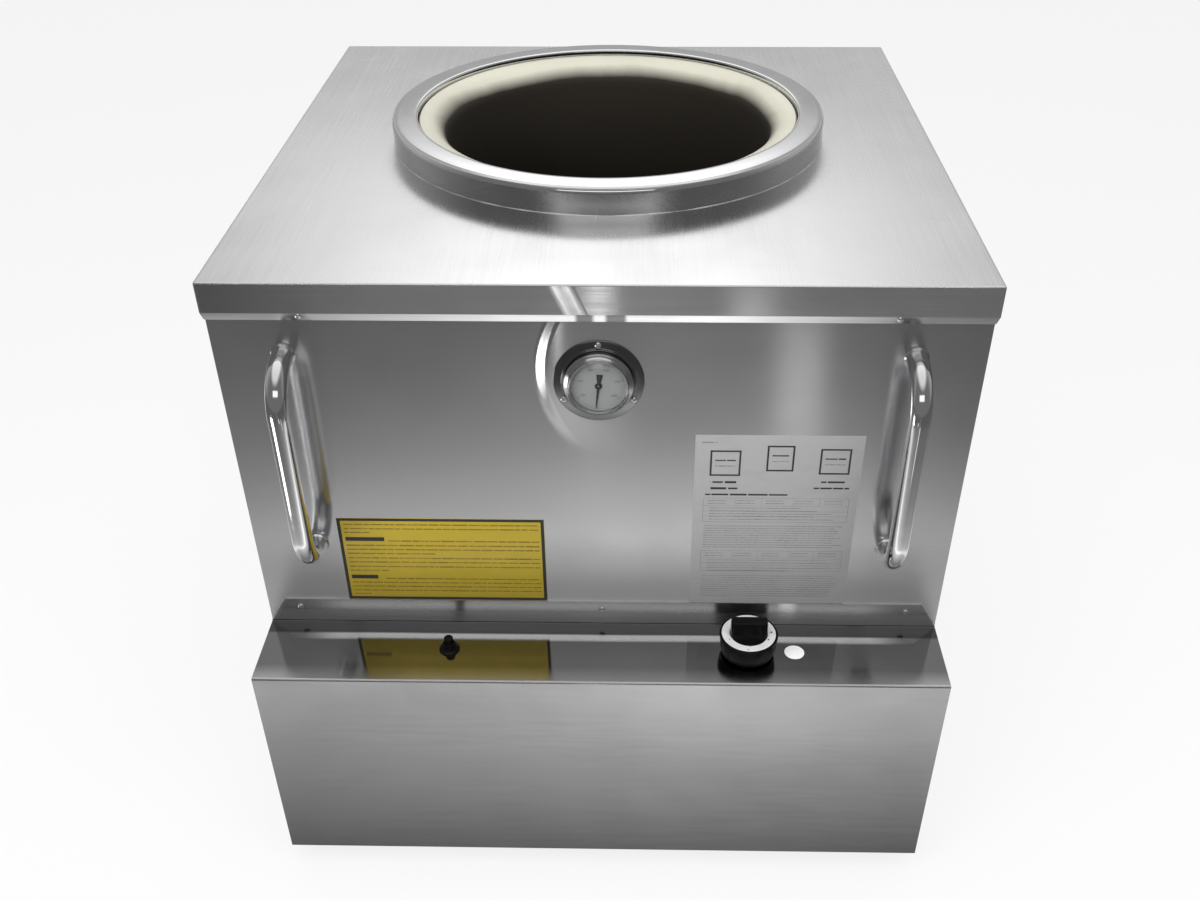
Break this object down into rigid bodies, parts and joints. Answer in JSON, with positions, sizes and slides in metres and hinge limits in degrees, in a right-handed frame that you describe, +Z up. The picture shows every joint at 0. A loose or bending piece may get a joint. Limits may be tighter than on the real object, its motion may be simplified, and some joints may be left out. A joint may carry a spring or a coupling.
{
  "type": "clay tandoor oven",
  "caption": "Gas-fired clay pot oven in a square stainless casing with a round polished mouth ring, front control shelf, side handles and a dial gauge.",
  "frame": {"origin": "middle of the whole oven at floor level, under the feet", "axes": "+Z up, -Y towards the front with the controls, +X to the viewer's right"},
  "size_m": [0.8688, 1.006, 0.864],
  "materials": {
    "casing_steel": "brushed stainless",
    "cover_steel": "fine brushed stainless",
    "box_steel": "brushed stainless, cloudy",
    "polished_steel": "polished stainless",
    "fired_clay": "smooth fired clay, cream",
    "firebrick": "porous refractory brick",
    "ceramic_wool": "ceramic wool",
    "frame_steel": "grey primer",
    "zinc_steel": "zinc plated",
    "screw_steel": "polished pan heads",
    "black_rubber": "matt",
    "dial_face": "matt printed",
    "needle_black": "matt black",
    "clear_glass": "clear",
    "yellow_plate": "satin yellow with a black edge",
    "white_plate": "matt white",
    "black_plastic": "satin black",
    "brass": "turned",
    "lead_silicone": "satin",
    "electrode_ceramic": "glazed",
    "soft_tube": "satin",
    "copper": "satin copper",
    "gas_iron": "black iron pipe",
    "burner_iron": "cast, matt"
  },
  "bodies": {
    "oven": {"top_cover": "cover_steel", "mouth_ring": "polished_steel", "neck_seal": "ceramic_wool", "clay_pot": "fired_clay", "front_panel": "casing_steel", "side_panel_left": "casing_steel", "side_panel_right": "casing_steel", "rear_panel": "casing_steel", "corner_posts": "frame_steel", "base_rails": "frame_steel", "floor_pan": "frame_steel", "feet": "zinc_steel", "foot_pads": "black_rubber", "hearth_slab": "firebrick", "insulation_fill": "ceramic_wool", "burner_tunnel": "frame_steel", "control_box_cover": "box_steel", "control_box_ends": "box_steel", "handle_left": "polished_steel", "handle_right": "polished_steel", "handle_bolts": "zinc_steel", "cover_screws": "screw_steel", "upstand_screws": "screw_steel", "rear_panel_screws": "screw_steel", "gauge_flange": "polished_steel", "gauge_case": "polished_steel", "gauge_dial": "dial_face", "gauge_glass": "clear_glass", "gauge_stem": "zinc_steel", "gauge_screws": "screw_steel", "notice_plate": "yellow_plate", "data_plate": "white_plate", "round_label": "white_plate", "knob_spring": "zinc_steel", "gas_valve": "brass", "valve_nut": "zinc_steel", "igniter_body": "black_plastic", "igniter_lead": "lead_silicone", "spark_electrode": "electrode_ceramic", "pilot_burner": "brass", "pilot_tube": "soft_tube", "thermocouple": "copper", "inlet_fitting": "brass", "supply_pipes": "gas_iron", "supply_elbow": "gas_iron", "gas_regulator": "soft_tube", "feed_pipes": "soft_tube", "feed_elbows": "brass", "gas_injector": "brass", "mixing_tube": "burner_iron", "burner_body": "burner_iron", "burner_cap": "burner_iron", "flame_spreader": "burner_iron"},
    "push_collar": {"stem_collar": "brass"},
    "knob": {"knob_body": "black_plastic", "knob_dial_ring": "polished_steel", "valve_stem": "brass"},
    "igniter": {"igniter_button": "black_plastic"},
    "needle": {"gauge_needle": "needle_black"},
    "shutter": {"air_shutter": "zinc_steel"}
  },
  "joints": [
    {"name": "knob_push", "type": "slide", "parent": "oven", "child": "push_collar", "axis": [0, 0, -1], "range_m": [0, 0.003], "stiffness_N_per_m": 1500, "springref_m": -0.002, "deforming": ["knob_spring"]},
    {"name": "knob_turn", "type": "hinge", "parent": "push_collar", "child": "knob", "pos_m": [0.184, -0.445, 0.37], "axis": [0, 0, 1], "range_deg": [0, 210]},
    {"name": "igniter_press", "type": "slide", "parent": "oven", "child": "igniter", "axis": [0, 0, -1], "range_m": [0, 0.004], "stiffness_N_per_m": 1200, "springref_m": -0.001},
    {"name": "gauge_needle_turn", "type": "hinge", "parent": "oven", "child": "needle", "pos_m": [0, -0.4038, 0.71], "axis": [0, 1, 0], "range_deg": [0, 300]},
    {"name": "air_shutter_turn", "type": "hinge", "parent": "oven", "child": "shutter", "pos_m": [0, -0.404, 0.112], "axis": [0, 1, 0], "range_deg": [0, 50]}
  ]
}
